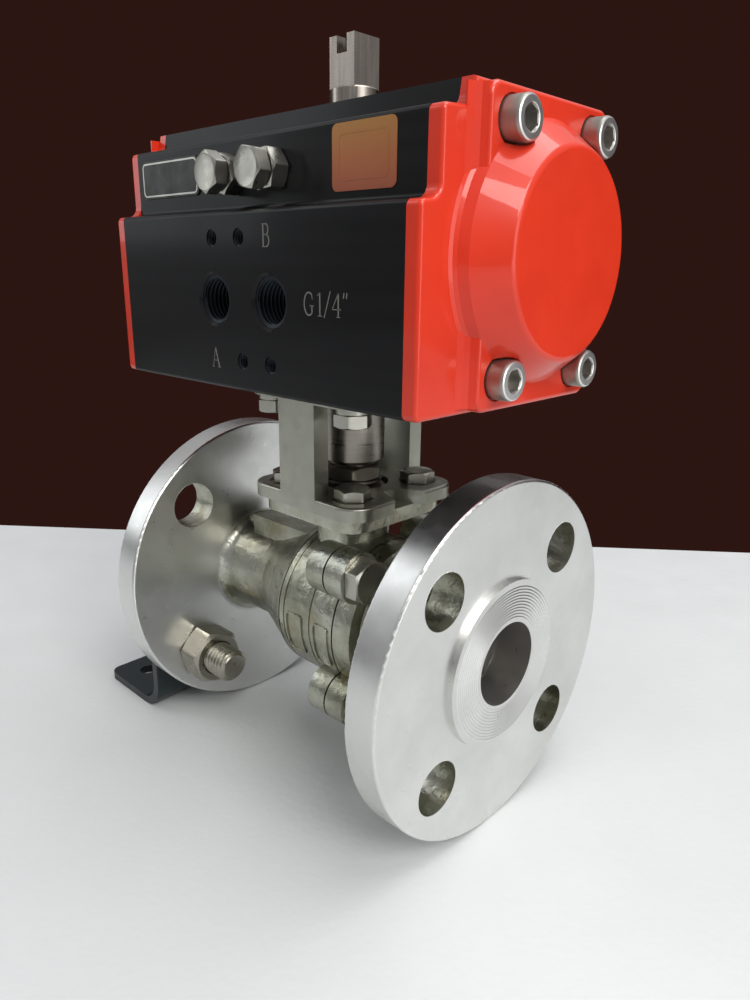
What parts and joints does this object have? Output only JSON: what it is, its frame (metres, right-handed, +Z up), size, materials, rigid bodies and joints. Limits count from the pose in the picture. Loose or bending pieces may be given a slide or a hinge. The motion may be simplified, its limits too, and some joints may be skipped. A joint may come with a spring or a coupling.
{
  "type": "pneumatic actuated ball valve",
  "caption": "Flanged two-piece stainless ball valve, opened and closed a quarter turn by a rack-and-pinion air actuator on a cast yoke.",
  "frame": {"origin": "centre of the outlet's raised face, where the pipe axis leaves the valve", "axes": "+X along the pipe out of the outlet, +Z up along the stem towards the actuator, -Y towards the air ports; the stem axis stands at x = -63.5 mm"},
  "size_m": [0.1739, 0.108, 0.224],
  "materials": {
    "cast_stainless": "pickled cast stainless, machined flange faces",
    "yoke_cast": "pickled cast stainless",
    "ball_steel": "polished",
    "ptfe": "matte",
    "turned_stainless": "turned",
    "spring_steel": "dull",
    "nut_stainless": "formed, washed",
    "bolt_stainless": "formed, washed",
    "socket_screw": "formed, bright face",
    "black_anodised": "satin black anodised",
    "red_powder_coat": "gloss powder coat",
    "seal_rubber": "matte",
    "pinion_nickel": "nickel plated, satin",
    "cam_steel": "machined",
    "bush_polymer": "matte",
    "piston_aluminium": "die cast",
    "badge_enamel": "black enamel with a pale frame",
    "label_foil": "copper-coloured foil",
    "foot_painted_steel": "dark blue-black paint"
  },
  "bodies": {
    "housing": {"valve_body": "cast_stainless", "body_cap": "cast_stainless", "seat_ring_inlet": "ptfe", "seat_ring_outlet": "ptfe", "body_gasket": "ptfe", "stem_thrust_washer": "ptfe", "stem_packing": "ptfe", "gland_ring": "turned_stainless", "body_bolts": "bolt_stainless", "yoke": "yoke_cast", "yoke_base_bolts": "bolt_stainless", "yoke_top_bolts": "bolt_stainless", "actuator_body": "black_anodised", "end_cap_left": "red_powder_coat", "end_cap_right": "red_powder_coat", "end_cap_seal_left": "seal_rubber", "end_cap_seal_right": "seal_rubber", "cap_screws_left": "socket_screw", "cap_screws_right": "socket_screw", "pinion_bush_low": "bush_polymer", "pinion_bush_top": "bush_polymer", "stop_nut_left": "nut_stainless", "stop_nut_right": "nut_stainless", "badge": "badge_enamel", "label": "label_foil", "foot_bracket": "foot_painted_steel", "foot_bolt": "bolt_stainless", "foot_nut": "nut_stainless"},
    "drive_train": {"stem": "turned_stainless", "ball": "ball_steel", "spring_washers": "spring_steel", "stem_nut": "nut_stainless", "coupling": "turned_stainless", "pinion": "pinion_nickel", "stop_cam": "cam_steel", "pinion_seals": "seal_rubber", "pinion_thrust_washer": "bush_polymer", "pinion_circlip": "spring_steel"},
    "piston_right_unit": {"piston_right": "piston_aluminium", "piston_seal_right": "seal_rubber", "piston_guide_right": "bush_polymer"},
    "piston_left_unit": {"piston_left": "piston_aluminium", "piston_seal_left": "seal_rubber", "piston_guide_left": "bush_polymer"},
    "stop_screw_left": {"stop_bolt_left": "bolt_stainless"},
    "stop_screw_right": {"stop_bolt_right": "bolt_stainless"}
  },
  "joints": [
    {"name": "quarter_turn", "type": "hinge", "parent": "housing", "child": "drive_train", "pos_m": [-0.0635, 0, 0], "axis": [0, 0, 1], "range_deg": [0, 90]},
    {"name": "piston_right_slide", "type": "slide", "parent": "housing", "child": "piston_right_unit", "axis": [1, 0, 0], "range_m": [0, 0.01571]},
    {"name": "piston_left_slide", "type": "slide", "parent": "housing", "child": "piston_left_unit", "axis": [-1, 0, 0], "range_m": [0, 0.01571]},
    {"name": "stop_left_adjust", "type": "slide", "parent": "housing", "child": "stop_screw_left", "axis": [0, -1, 0], "range_m": [0, 0.004]},
    {"name": "stop_right_adjust", "type": "slide", "parent": "housing", "child": "stop_screw_right", "axis": [0, -1, 0], "range_m": [0, 0.004]}
  ],
  "couplings": [
    {"joint": "piston_right_slide", "follows": "quarter_turn", "m_per_rad": 0.01},
    {"joint": "piston_left_slide", "follows": "quarter_turn", "m_per_rad": 0.01}
  ]
}
